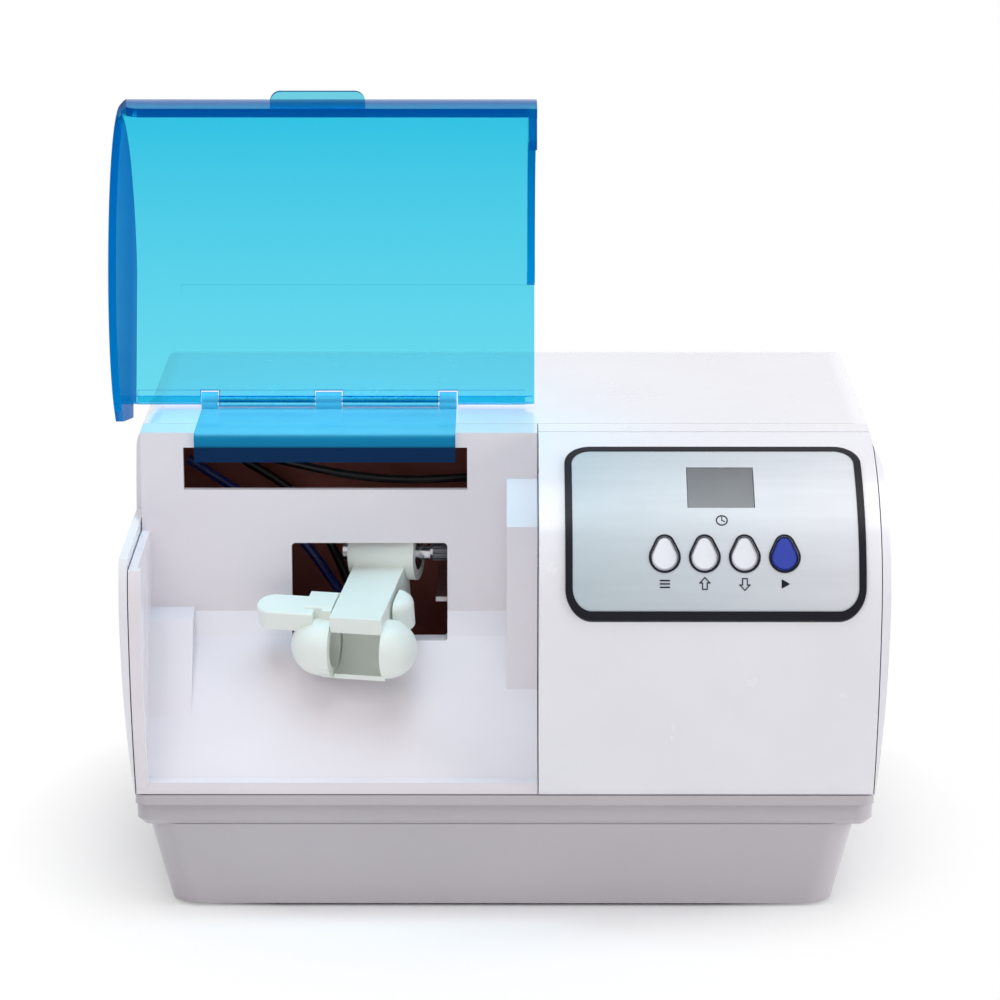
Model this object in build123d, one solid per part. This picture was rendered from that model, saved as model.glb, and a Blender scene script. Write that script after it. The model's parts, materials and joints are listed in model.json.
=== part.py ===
"""Dental amalgamator with an open tinted lid, built as separate pieces in millimetres.

+X is to the operator's right, +Y to the rear, +Z up.  The origin is at the bottom centre of the whole
object's envelope with the lid open.
"""

import os
from math import asin, atan2, cos, degrees, hypot, pi, radians, sin

from build123d import *

# ---- case envelope ---------------------------------------------------------------------------------
case_left = -113.0
case_right = 117.0
case_front = -95.0
case_back = 89.85
case_top = 143.5
wall = 2.5
side_bow = (2.3, 0.8)
seam_gap = 0.3
foot_height = 3.0
base_bottom = 1.0
base_top = 28.5
base_left = -107.5
base_right = 109.8
base_front = -80.0
base_back = 86.0
base_taper = (0.23, 0.17)
skirt_front = -81.5
shell_bottom = 39.2
lip_height = 3.0
crown_start = -40.0
crown_run = 55.0
crown_rise = 43.5
shoulder_radius = 36.0
lip_setback = 11.0
rear_radius = 25.0
cover_seam_y = -33.7

# ---- chamber ---------------------------------------------------------------------------------------
tub_low = shell_bottom + seam_gap
tub_left = case_left + wall + seam_gap
tub_right = 12.0
tub_wall = 2.5
back_wall_y = -46.0
floor_back = (-50.0, 79.6)
floor_front = (-80.5, 42.4)
cove_top = 86.5
side_opening_z = 116.0
tub_side_top = 112.5
slot_x = (-97.0, -9.6)
slot_z = (125.4, 138.8)
window_x = (-64.0, -15.8)
window_z = (78.0, 108.4)
boss_right = -94.4
block_left = 2.6
block_front = -60.0
block_top = (129.3, 117.3)
block_bottom = 68.5

# ---- lid -------------------------------------------------------------------------------------------
lid_clearance = 1.2
lid_wall = 2.4
lid_left = -117.0
lid_right = 11.4
lid_low = 41.5
lid_edge = ((-117.3, 109.0), (-115.0, 97.0), (-112.1, 82.0), (-109.6, 62.0), (-107.9, 41.5))
lid_corner = 5.0
lid_open_angle = 108.0
hinge_y = -13.0
hinge_z = 146.3
hinge_pin_radius = 1.0
running_clearance = 0.08
knuckle_radius = 2.3
knuckle_gap = 0.4
plate_x = (-93.5, -13.2)
plate_thickness = 1.7
plate_seat = 1.6
plate_bottom = 134.6
lid_knuckles = ((-88.0, -58.0), (-49.0, -19.0))
flange_rear = (-3.2, 110.6)
flange_middle = (-52.0, 81.0)
flange_front = (-97.5, 107.0)
flange_band = 9.0
pull_tab_x = (-66.0, -38.5)
pull_tab_reach = 5.0

# ---- capsule drive ---------------------------------------------------------------------------------
drive_x = -35.5
drive_y = -34.0
drive_z = 102.8
skew = 12.0
arm_droop = 14.5
journal_radius = 2.3
shaft_radius = 2.2
hub_radius = 8.4
hub_span = (-10.0, 8.5)
hub_flange = 2.5
web_start = 12.4
bearing_outer = 5.5
bearing_width = 4.0
arm_half = 8.0
arm_front = -40.8
arm_top = -1.0
arm_plate = 3.0
bay_back = -26.5
bay_bottom = -22.6
bay_radius = 8.6
capsule_y = -36.4
capsule_z = -13.6
right_cup_radius = 9.1
left_cup_radius = 9.5
ring_radius = 9.9
ring_width = 3.0
cup_cavity = 6.6
cup_depth = 5.0
jaw_gap = 0.3
jaw_pin = (-4.5, -20.0)
jaw_pin_radius = 1.5
jaw_lug = (-12.1, -5.4)
tongue_x = (-32.4, -14.0)
tongue_y = (-39.2, -28.2)
tongue_z = (-7.4, -1.2)
motor_radius = 18.0
motor_x = (34.0, 96.0)
plate_z = 77.0
bench_z = 88.2
motor_plate_thickness = 1.5

# ---- control panel ---------------------------------------------------------------------------------
fascia_left = 12.3
fascia_right = case_right - wall - seam_gap
panel_left = 20.0
panel_right = 109.6
panel_corner = 8.0
panel_thickness = 0.6
border_width = 2.2
panel_back_y = -57.0
panel_low_z = 97.5
key_angle = 62.0
key_pitch = 11.9
key_first_x = 49.6
key_count = 4
key_radius = 3.85
key_narrow = 2.15
key_length = 3.6
key_gap = 0.3
key_ring = 0.6
key_travel = 0.8
display_x = 66.8
display_angle = 32.5
display_width = 20.2
display_height = 16.6

# ---- derived outline of the case front -------------------------------------------------------------
crown_radius = ((shoulder_radius - crown_run) ** 2 + crown_rise**2 - shoulder_radius**2) / (
    2 * (crown_rise - shoulder_radius)
)
bulge_z = case_top - crown_rise
crown_center = (crown_start, case_top - crown_radius)
shoulder_center = (case_front + shoulder_radius, bulge_z)
crown_sweep = degrees(
    atan2(crown_center[0] - shoulder_center[0], shoulder_center[1] - crown_center[1])
)
cheek_drop = bulge_z - shell_bottom
cheek_radius = (cheek_drop**2 + lip_setback**2) / (2 * lip_setback)
cheek_center = (case_front + cheek_radius, bulge_z)


# ---- small helpers ---------------------------------------------------------------------------------
def block(x, y, z):
    """Box between three pairs of limits."""
    middle = Pos((x[0] + x[1]) / 2, (y[0] + y[1]) / 2, (z[0] + z[1]) / 2)
    return middle * Box(x[1] - x[0], y[1] - y[0], z[1] - z[0])


def rod(start, end, radius):
    """Round bar from one point to another."""
    run = Vector(*end) - Vector(*start)
    base = Plane(origin=start, z_dir=run)
    return base * Cylinder(radius, run.length, align=(Align.CENTER, Align.CENTER, Align.MIN))


def tube(start, end, outer, inner):
    """Round bar with a through bore."""
    return rod(start, end, outer) - rod(start, end, inner)


def slab(face, x):
    """Face drawn in (Y, Z), extruded between two X limits."""
    return Pos(x[0], 0, 0) * extrude(Plane.YZ * face, x[1] - x[0])


def polygon(*points):
    """Face with straight sides."""
    return make_face(Polyline(*points, close=True))


def cheek_angle(offset, z):
    return degrees(asin((bulge_z - z) / (cheek_radius + offset)))


def front_curve(offset, low):
    """Front outline in (Y, Z), from the flat top round the shoulder and down to height low."""
    return [
        CenterArc(crown_center, crown_radius + offset, 90, crown_sweep),
        CenterArc(shoulder_center, shoulder_radius + offset, 90 + crown_sweep, 90 - crown_sweep),
        CenterArc(cheek_center, cheek_radius + offset, 180, cheek_angle(offset, low)),
    ]


def front_point(offset, low):
    """Y of the front outline at a height below the bulge."""
    angle = radians(180 + cheek_angle(offset, low))
    return cheek_center[0] + (cheek_radius + offset) * cos(angle)


def surface_point(angle, offset=0.0):
    """Point and outward normal on the front outline, by angle from straight up."""
    if angle < crown_sweep:
        center, radius = crown_center, crown_radius
    else:
        center, radius = shoulder_center, shoulder_radius
    normal = (-sin(radians(angle)), cos(radians(angle)))
    reach = radius + offset
    return (center[0] + reach * normal[0], center[1] + reach * normal[1]), normal


def surface_plane(x, angle, offset=0.0):
    """Plane that lies on the front at an angle, with its x along +X and its normal pointing out."""
    (y, z), normal = surface_point(angle, offset)
    return Plane(origin=(x, y, z), x_dir=(1, 0, 0), z_dir=(0, normal[0], normal[1]))


def front_band(outer, inner, back, low):
    """Curved plate section between two offsets, from y = back on top to height low in front."""
    top_outer = case_top + outer
    top_inner = case_top + inner
    edges = front_curve(outer, low) + front_curve(inner, low)
    edges.append(Line((crown_start, top_outer), (back, top_outer)))
    edges.append(Line((back, top_outer), (back, top_inner)))
    edges.append(Line((back, top_inner), (crown_start, top_inner)))
    edges.append(Line((front_point(outer, low), low), (front_point(inner, low), low)))
    return make_face(edges)


def case_section(offset, low, back):
    """Full side outline of the case, moved out by offset."""
    top = case_top + offset
    rear = back + offset
    edges = front_curve(offset, low)
    edges.append(Line((crown_start, top), (back - rear_radius, top)))
    edges.append(CenterArc((back - rear_radius, case_top - rear_radius), rear_radius + offset, 0, 90))
    edges.append(Line((rear, case_top - rear_radius), (rear, low)))
    edges.append(Line((rear, low), (front_point(offset, low), low)))
    return make_face(edges)


def bowed_block(left, right, low, top, corner, left_bow=side_bow, right_bow=side_bow):
    """Block along Y with rounded upper corners; each side bows in by (at its foot, at its top)."""
    middle = low + 0.6 * (top - low)
    left_foot = (left + left_bow[0], low)
    left_head = (left + left_bow[1], top)
    right_foot = (right - right_bow[0], low)
    right_head = (right - right_bow[1], top)
    outline = make_face(
        [
            Line(left_foot, right_foot),
            ThreePointArc(right_foot, (right, middle), right_head),
            Line(right_head, left_head),
            ThreePointArc(left_head, (left, middle), left_foot),
        ]
    )
    upper = outline.vertices().group_by(Axis.Y)[-1]
    return extrude(Plane.XZ * fillet(upper, corner), 130, both=True)


# ---- lower case ------------------------------------------------------------------------------------
def tapered_tray(inset, low, high):
    """Base block that narrows towards its underside."""
    left = base_left + inset
    right = base_right - inset
    front = base_front + inset
    back = base_back - inset
    in_x = (high - low) * base_taper[0]
    in_y = (high - low) * base_taper[1]
    wide = polygon((left + in_x, low), (right - in_x, low), (right, high), (left, high))
    deep = polygon((front + in_y, low), (back - in_y, low), (back, high), (front, high))
    tray = extrude(Plane.XZ * wide, 150, both=True) & slab(deep, (-150, 150))
    slanted = [edge for edge in tray.edges() if abs((edge % 0.5).Z) > 0.5]
    return fillet(slanted, 9 - inset)


def lower_case():
    skirt_x = (case_left + side_bow[0], case_right - side_bow[0])
    outer = tapered_tray(0, base_bottom, base_top)
    skirt = block(skirt_x, (skirt_front, case_back), (base_top, shell_bottom))
    skirt = fillet(skirt.edges().filter_by(Axis.Z), 5)
    skirt = chamfer(skirt.faces().sort_by(Axis.Z)[0].edges(), 1.8)
    inner = tapered_tray(wall, base_bottom + wall, base_top)
    room = block(
        (skirt_x[0] + wall, skirt_x[1] - wall),
        (skirt_front + wall, case_back - wall),
        (base_top + wall, shell_bottom),
    )
    case = outer + skirt - inner - room
    throat = block((base_left + 4, base_right - 4), (base_front + 4, base_back - 4), (base_top - 1, 33))
    case = case - throat
    lip_y = front_point(0.5, shell_bottom)
    lip = block(skirt_x, (lip_y, skirt_front + 4), (shell_bottom - lip_height, shell_bottom))
    lip = fillet(lip.faces().sort_by(Axis.Y)[0].edges().filter_by(Axis.Z), 3)
    case = case + lip
    for x in (24.0, 98.0):
        for y in (-32.0, 6.0):
            case = case + rod((x, y, base_bottom + 1), (x, y, plate_z - 6.0), 4.0)
    for x in (-70.0, 60.0):
        for y in (-55.0, 55.0):
            case = case - rod((x, y, 0), (x, y, base_bottom + wall + 1), 2.2)
    for i in range(5):
        y = -20.0 + 10.0 * i
        case = case - block((-60, -20), (y, y + 4.2), (0, base_bottom + wall + 1))
    return case


def foot_centers():
    return [(x, y) for x in (-88.0, 92.0) for y in (-62.0, 64.0)]


def rubber_feet():
    feet = []
    for x, y in foot_centers():
        foot = Pos(x, y, foot_height / 2) * Cone(6.0, 7.0, foot_height)
        feet.append(foot - rod((x, y, base_bottom), (x, y, foot_height), 20))
    return Compound(children=feet)


def case_screws():
    """Screws driven up into the case from under the base, with their heads below the floor."""
    screws = []
    for x in (-70.0, 60.0):
        for y in (-55.0, 55.0):
            head = rod((x, y, 0.15), (x, y, base_bottom - 0.02), 3.4)
            screws.append(head + rod((x, y, 0.5), (x, y, base_bottom + wall + 3.0), 1.6))
    return Compound(children=screws)


# ---- upper cover -----------------------------------------------------------------------------------
def upper_cover():
    outer = slab(case_section(0, shell_bottom, case_back), (case_left, case_right))
    outer = outer & bowed_block(case_left, case_right, shell_bottom - 1, case_top, 7)
    inner = slab(case_section(-wall, shell_bottom - 1, case_back), (case_left, case_right))
    inner = inner & bowed_block(case_left + wall, case_right - wall, shell_bottom - 5, case_top - wall, 5)
    cover = outer - inner
    front = block((tub_left - seam_gap, case_right - wall), (-130, cover_seam_y), (0, 200))
    cover = cover - front
    cover = cover - block((-130, -90), (-130, cover_seam_y), (side_opening_z, 200))
    for i in range(6):
        z = 78.0 + 7.0 * i
        cover = cover - block((-96, -48), (case_back - 5, case_back + 5), (z, z + 3.0))
        cover = cover - block((110, 120), (18, 58), (z, z + 3.0))
    cover = cover - block(plate_x, (-60, hinge_y + 3.5), (case_top - plate_seat, case_top + 1))
    cover = cover - block(inlet_x, (80, 100), inlet_z)
    cover = cover - block(rocker_x, (80, 100), rocker_z)
    for x in fuse_x:
        cover = cover - rod((x, 80, fuse_z), (x, 100, fuse_z), 6.0)
    return cover


# ---- control fascia --------------------------------------------------------------------------------
def key_plane(index, offset=0.0):
    return surface_plane(key_first_x + key_pitch * index, key_angle, offset)


def key_outline(grow=0.0):
    """Egg shape with its narrow end towards the top of the panel."""
    wide = Pos(0, -key_length / 2 + 1.2) * Circle(key_radius + grow)
    narrow = Pos(0, key_length / 2 + 1.6) * Circle(key_narrow + grow)
    return make_hull((wide + narrow).edges())


def display_plane(offset=0.0):
    return surface_plane(display_x, display_angle, offset)


def control_fascia():
    shell = slab(
        front_band(0, -wall, cover_seam_y - seam_gap, shell_bottom + 0.3), (fascia_left, fascia_right)
    )
    side = slab(
        case_section(0, shell_bottom + 0.3, case_back), (fascia_left, fascia_left + tub_wall)
    )
    side = side & block((0, 40), (-130, back_wall_y + 0.2), (0, 200))
    shell = shell + side
    groove = block((fascia_left, fascia_right), (-44.4, -43.6), (case_top - 0.5, case_top + 1))
    shell = shell - groove
    shell = shell - display_plane(-6) * extrude(Rectangle(display_width, display_height), 12)
    for index in range(key_count):
        shell = shell - key_plane(index, -6) * extrude(key_outline(key_gap), 12)
    return shell


def panel_trim(outer, inner, grow, holes):
    """Curved sheet on the fascia, cut to a rounded rectangle that is wrapped round the front."""
    sheet = slab(
        front_band(outer, inner, cover_seam_y, shell_bottom + 5), (panel_left - 5, panel_right + 5)
    )
    depth = panel_back_y - case_front
    height = case_top - 1.8 - panel_low_z
    width = panel_right - panel_left + 2 * grow
    length = hypot(depth, height) + 2 * grow
    center = ((panel_left + panel_right) / 2, panel_back_y - depth / 2, panel_low_z + height / 2)
    plane = Plane(origin=center, x_dir=(1, 0, 0), z_dir=(0, -height, depth))
    cutter = plane * extrude(RectangleRounded(width, length, panel_corner + grow), 60, both=True)
    sheet = sheet & cutter
    if holes:
        sheet = sheet - display_plane(-6) * extrude(Rectangle(display_width, display_height), 12)
        for index in range(key_count):
            sheet = sheet - key_plane(index, -6) * extrude(key_outline(key_gap), 12)
    return sheet


def panel_overlay():
    return panel_trim(panel_thickness, 0.02, -border_width, True)


def panel_border():
    outer = panel_trim(panel_thickness + 0.25, 0.02, 0, False)
    return outer - panel_trim(panel_thickness + 2, -2, 0.05 - border_width, False)


def key_surrounds():
    """Thin raised rings on the overlay, one round each key."""
    rings = []
    outer = panel_thickness + 0.25
    for index in range(key_count):
        x = key_first_x + key_pitch * index
        sheet = slab(front_band(outer, panel_thickness + 0.01, -60, 90), (x - 6, x + 6))
        sheet = sheet & key_plane(index, -6) * extrude(key_outline(key_gap + key_ring), 12)
        rings.append(sheet - key_plane(index, -7) * extrude(key_outline(key_gap + 0.01), 14))
    return Compound(children=rings)


def display_window():
    lens = extrude(Rectangle(display_width - 0.4, display_height - 0.4), 1.6)
    return display_plane(-1.7) * lens


def display_module():
    body = extrude(Rectangle(22, 14), 6)
    board = Pos(0, 0, -1.6) * extrude(Rectangle(34, 15), 1.6)
    return display_plane(-9.4) * (body + board)


def panel_key(index):
    """Key cap that stands proud of the panel, with a retaining flange and a stem under it."""
    cap = extrude(key_outline(), 4.9)
    cap = chamfer(cap.faces().sort_by(Axis.Z)[-1].edges(), 0.45)
    flange = Pos(0, 0.5, 0) * extrude(Rectangle(10.0, 12.4), 1.0)
    stem = Pos(0, 0, -1.4) * extrude(Rectangle(2.8, 2.8), 1.6)
    return key_plane(index, -4.7) * (cap + flange + stem)


def control_board():
    middle = key_first_x + key_pitch * (key_count - 1) / 2
    board = extrude(Rectangle(64, 18), 1.6)
    return surface_plane(middle, key_angle, -13.2) * board


def tact_switches():
    switches = []
    for index in range(key_count):
        body = extrude(Rectangle(6, 6), 3.5) + Pos(0, 0, 3.5) * extrude(Rectangle(3.2, 3.2), 1.0)
        switches.append(key_plane(index, -11.55) * body)
    return Compound(children=switches)


# ---- chamber ---------------------------------------------------------------------------------------
def mixing_chamber():
    x = (tub_left, tub_right)
    back = block(x, (back_wall_y, back_wall_y + tub_wall), (cove_top - 12, case_top))
    shelf = block(x, (back_wall_y, cover_seam_y - seam_gap), (case_top - wall, case_top))
    cove = slab(
        polygon(
            (back_wall_y, cove_top),
            floor_back,
            floor_front,
            (front_point(-1, 41), 41.0),
            (front_point(-1, 41), tub_low),
            (-79.0, tub_low),
            (floor_back[0] + 1.0, floor_back[1] - 3.6),
            (back_wall_y + tub_wall, cove_top - 12),
            (back_wall_y + tub_wall, cove_top),
        ),
        x,
    )
    side = slab(case_section(-0.6, tub_low, case_back), (tub_left, tub_left + tub_wall))
    side = side & block((-130, 0), (-130, back_wall_y + 1), (tub_low, tub_side_top))
    rim = slab(
        front_band(-0.6, -3.4, cover_seam_y, tub_low), (tub_left, tub_left + 3.6)
    ) & block((-130, 0), (-130, -60), (tub_low, tub_side_top))
    sill = block(x, (front_point(-0.8, 41.5), floor_front[0] + 1), (tub_low, 43.2))
    end = block((tub_left, tub_left + tub_wall), (back_wall_y, cover_seam_y - seam_gap), (60, case_top))
    tub = back + shelf + cove + side + rim + sill + end
    boss = slab(
        polygon((back_wall_y + 0.5, 88.0), (-53.0, 85.5), (-67.5, 58.0), (-66.0, 55.0), (-46.0, 74.0)),
        (tub_left + 0.5, boss_right),
    )
    interlock = slab(
        polygon(
            (back_wall_y + 0.5, block_top[0]),
            (block_front, block_top[1]),
            (block_front - 1.5, block_bottom - 11),
            (back_wall_y + 0.5, 78.0),
        ),
        (block_left, tub_right),
    )
    hollow = slab(
        polygon(
            (back_wall_y + 5, block_top[0] - 5),
            (block_front + 2.2, block_top[1] - 2.6),
            (block_front + 1.2, block_bottom + 6),
            (back_wall_y + 5, 86.0),
        ),
        (block_left + 2.0, tub_right + 1),
    )
    tub = tub + boss + interlock - hollow
    tub = tub - block(plate_x, (-60, 0), (case_top - plate_seat, case_top + 1))
    tub = tub - block(slot_x, (-60, cover_seam_y - 1), slot_z)
    window = block(window_x, (-51, -38), window_z)
    window = fillet(window.edges().filter_by(Axis.Y), 1.2)
    return tub - window


def lid_switch():
    """Snap switch in the moulded block, which tells the timer that the lid is shut."""
    body = block((block_left + 2.4, tub_right - 0.6), (-56.4, -47.0), (88, 108))
    lever = block((block_left + 3.4, tub_right - 1.8), (-57.4, -56.4), (90, 109))
    return body + lever


# ---- lid and its hinge -----------------------------------------------------------------------------
def opened(shape):
    """Turns a lid shape from its closed place to the open rest pose."""
    axis = Axis((0, hinge_y, hinge_z), (1, 0, 0))
    return shape.rotate(axis, -lid_open_angle)


def hinge_ring(x, radius):
    return rod((x[0], hinge_y, hinge_z), (x[1], hinge_y, hinge_z), radius)


def lid_shell(offset, inset, corner):
    """Full hood over the chamber, moved out from the case by offset and in at the sides by inset."""
    hood = slab(case_section(offset, lid_low - 3, case_back), (lid_left, lid_right))
    left_bow = (side_bow[0] + 0.3, side_bow[1])
    sides = (lid_left + inset, lid_right - inset)
    return hood & bowed_block(*sides, lid_low - 4, case_top + offset, corner, left_bow, (0.05, 0.05))


def lid_front_outline():
    """Front view of the sheet below the cheek, whose left edge runs in to a rounded corner."""
    corner = lid_edge[-1]
    edges = [
        Spline(*lid_edge),
        Line(corner, (lid_right + 5, lid_low)),
        Line((lid_right + 5, lid_low), (lid_right + 5, 120)),
        Line((lid_right + 5, 120), (lid_edge[0][0], 120)),
        Line((lid_edge[0][0], 120), lid_edge[0]),
    ]
    outline = make_face(edges)
    sharp = outline.vertices().sort_by_distance((*corner, 0))[0]
    return extrude(Plane.XZ * fillet(sharp, lid_corner), 130, both=True)


def lid_closed():
    back = hinge_y + 1.5
    outer_offset = lid_clearance + lid_wall
    shell = lid_shell(outer_offset, 0, 3) - lid_shell(lid_clearance, lid_wall, 1.5)
    shell = shell & block((-130, 130), (-130, 60), (lid_low, 200))
    shell = shell - block((-130, 130), (back, 200), (case_top - 4, 200))
    shell = shell - block((lid_left + lid_wall + 0.2, 130), (back, 200), (0, 200))
    # left cheek: deepest in the middle, ending where the front sheet starts to run in
    edge = [
        ThreePointArc(flange_rear, flange_middle, flange_front),
        Line(flange_front, (-120.0, 180.0)),
        Line((-120.0, 180.0), (back, 180.0)),
        Line((back, 180.0), flange_rear),
    ]
    cheek = slab(make_face(edge), (-130, -100))
    sheet = slab(front_band(20, 0.4, 10, lid_low - 1), (-130, -100)) & lid_front_outline()
    left = shell & (sheet + cheek)
    # right cheek: a narrow band in front, which stops above the sill of the chamber
    band = slab(front_band(20, -flange_band, 10, lid_low - 1), (-100.05, 40))
    above = block((-100.05, 40), (-130, back_wall_y - 3), (0, 200))
    above = above + block((-100.05, 40), (-130, 60), (case_top + lid_clearance - 0.01, 200))
    right = shell & band
    right = right & above
    sill = slab(front_band(lid_clearance - 0.3, -20, 0, lid_low - 2), (-100, lid_right + 1))
    right = right - (sill & block((-100, 40), (-130, -60), (0, 48.0)))
    lid = left + right
    bead_z = (case_top + outer_offset - 0.6, hinge_z + knuckle_radius)
    lid = lid + block((lid_left + 3, lid_right - 3), (hinge_y - 3.0, back), bead_z)
    for x0, x1 in plate_knuckle_spans():
        clear = block((x0 - knuckle_gap, x1 + knuckle_gap), (hinge_y - 2.9, 10), (130, 160))
        lid = lid - clear
    for span in lid_knuckles:
        lid = lid + hinge_ring(span, knuckle_radius)
    lid = lid - hinge_ring((lid_left - 1, lid_right + 1), hinge_pin_radius + running_clearance)
    tab_y = front_point(outer_offset - 1, lid_low + 1)
    tab = block(pull_tab_x, (tab_y - pull_tab_reach - 1, tab_y), (lid_low, lid_low + 2.0))
    tab = fillet(tab.faces().sort_by(Axis.Y)[0].edges().filter_by(Axis.Z), 3)
    return lid + tab


def plate_knuckle_spans():
    """X ranges of the fixed knuckles, which fill the gaps between the lid's."""
    edges = [plate_x[0]]
    for span in lid_knuckles:
        edges += [span[0] - knuckle_gap, span[1] + knuckle_gap]
    edges.append(plate_x[1])
    return [(edges[i], edges[i + 1]) for i in range(0, len(edges), 2)]


def lid():
    return opened(lid_closed())


def hinge_plate():
    """Plate that carries the lid: flat on the ledge, over its nose and hooked into the slot."""
    seat = case_top - plate_seat
    top = seat + plate_thickness
    nose = back_wall_y - 0.2 - plate_thickness
    hook = back_wall_y + tub_wall + 3
    section = polygon(
        (hinge_y + 3.4, seat),
        (hinge_y + 3.4, top),
        (nose, top),
        (nose, plate_bottom),
        (hook, plate_bottom),
        (hook, plate_bottom + plate_thickness),
        (back_wall_y - 0.2, plate_bottom + plate_thickness),
        (back_wall_y - 0.2, seat),
    )
    plate = slab(section, plate_x)
    nose_edges = plate.edges().filter_by(Axis.X)
    upper = [e for e in nose_edges if abs(e.center().Y - nose) < 0.01 and e.center().Z > top - 0.1]
    plate = fillet(upper, 1.2)
    for span in plate_knuckle_spans():
        pedestal = block(span, (hinge_y - knuckle_radius, hinge_y + knuckle_radius), (top - 0.2, hinge_z))
        plate = plate + pedestal + hinge_ring(span, knuckle_radius)
    return plate - hinge_ring((plate_x[0] - 1, plate_x[1] + 1), hinge_pin_radius)


def hinge_pin():
    return hinge_ring((plate_x[0] + 0.5, plate_x[1] - 0.5), hinge_pin_radius)


# ---- capsule drive ---------------------------------------------------------------------------------
drive_center = Location((drive_x, drive_y, drive_z))
journal_frame = drive_center * Location((0, 0, 0), (0, 0, -skew))
arm_frame = journal_frame * Location((0, 0, 0), (arm_droop, 0, 0))


def drive_shaft():
    """Motor shaft whose left end is a journal bent out of line by the skew angle."""
    start = (drive_x + web_start + 0.9, drive_y, drive_z)
    straight = rod(start, (motor_x[0] - 1.0, drive_y, drive_z), shaft_radius)
    journal_end = (web_start + 1.2) / cos(radians(skew))
    journal = journal_frame * rod((hub_span[0] - 2.6, 0, 0), (journal_end, 0, 0), journal_radius)
    offset = journal_end * sin(radians(skew))
    web = block(
        (start[0] - 0.9, start[0] + 0.9),
        (drive_y - offset, drive_y),
        (drive_z - journal_radius, drive_z + journal_radius),
    )
    for y in (drive_y - offset, drive_y):
        web = web + rod((start[0] - 0.9, y, drive_z), (start[0] + 0.9, y, drive_z), journal_radius)
    retainer = journal_frame * rod((hub_span[0] - 2.6, 0, 0), (hub_span[0] - 0.8, 0, 0), 4.0)
    return straight + journal + web + retainer


def shaft_collar():
    """Knurled sleeve on the straight part of the shaft."""
    start = drive_x + web_start + 2.6
    ring = tube((start, drive_y, drive_z), (start + 8, drive_y, drive_z), 3.2, shaft_radius)
    teeth = 12
    for i in range(teeth):
        angle = 2 * pi * i / teeth
        y = drive_y + 3.3 * cos(angle)
        z = drive_z + 3.3 * sin(angle)
        ring = ring - rod((start - 1, y, z), (start + 9, y, z), 0.36)
    return ring


def journal_bearings():
    """Inner and outer sleeves of the two hub bearings, as closed rings."""
    rings = []
    for near, far in bearing_spans():
        ring = tube((near, 0, 0), (far, 0, 0), bearing_outer, journal_radius + 0.05)
        rings.append(arm_frame * ring)
    return Compound(children=rings)


def bearing_spans():
    end = hub_span[1] + hub_flange
    return ((hub_span[0], hub_span[0] + bearing_width), (end - bearing_width, end))


def domed_cup(side, mouth, radius, dome):
    """Cup on the capsule axis, open towards the middle, from x = mouth outwards to a dome."""
    center = (mouth + side * dome, capsule_y, capsule_z)
    ball = Pos(*center) * Sphere(radius)
    barrel = rod((mouth, capsule_y, capsule_z), center, radius)
    reach = sorted((mouth, mouth + side * 40))
    half = block(reach, (capsule_y - 20, capsule_y + 20), (capsule_z - 20, capsule_z + 20))
    cup = (ball & half) + barrel
    deep = mouth + side * cup_depth
    return cup - rod((mouth - side, capsule_y, capsule_z), (deep, capsule_y, capsule_z), cup_cavity)


def capsule_arm():
    """Hub on the journal, a sloping arm, the open capsule bay and the fixed right cup."""
    hub = rod((hub_span[0], 0, 0), (hub_span[1], 0, 0), hub_radius)
    flange = rod((hub_span[1] - 0.2, 0, 0), (hub_span[1] + hub_flange, 0, 0), hub_radius + 0.4)
    plate = block((-arm_half, arm_half), (arm_front, -3.0), (arm_top - arm_plate, arm_top))
    rib = block((2.0, arm_half), (bay_back - 1, -3.0), (jaw_lug[0] - 2.5, arm_top))
    shin = block((-arm_half, arm_half), (-12.8, -3.0), (-7.6, arm_top))
    ear = block((-arm_half, arm_half), (bay_back - 1, -15.5), (jaw_lug[0] - 2.5, jaw_lug[0] - jaw_gap))
    bay = block((-arm_half, arm_half), (arm_front, bay_back), (bay_bottom, arm_top))
    bay = fillet(bay.edges().filter_by(Axis.X).group_by(Axis.Z)[0].sort_by(Axis.Y)[-1], 7)
    bay = bay - rod((-20, capsule_y, capsule_z), (20, capsule_y, capsule_z), bay_radius)
    cup = domed_cup(1, arm_half - 0.1, right_cup_radius, 0.6)
    lobe = rod((arm_half - 0.4, -23.0, capsule_z + 1), (arm_half - 0.4, -23.0, arm_top - 1.6), 6.4)
    lobe = fillet(lobe.edges().sort_by(Axis.Z)[-1], 3.2)
    lobe = lobe & block((arm_half + 0.8, 30), (-40, 0), (-40, 10))
    bridge = block((arm_half - 1, arm_half + 3.4), (-29.0, -19.0), (capsule_z + 1, arm_top - 7))
    arm = hub + flange + plate + rib + shin + ear + bay + cup + lobe + bridge
    arm = arm - rod((hub_span[0] - 1, 0, 0), (hub_span[1] + 9, 0, 0), journal_radius + 1.0)
    for near, far in bearing_spans():
        arm = arm - rod((near, 0, 0), (far, 0, 0), bearing_outer)
    arm = arm - rod((*jaw_pin, jaw_lug[0] - 4), (*jaw_pin, arm_top - 1.2), jaw_pin_radius)
    return arm_frame * arm


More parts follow.
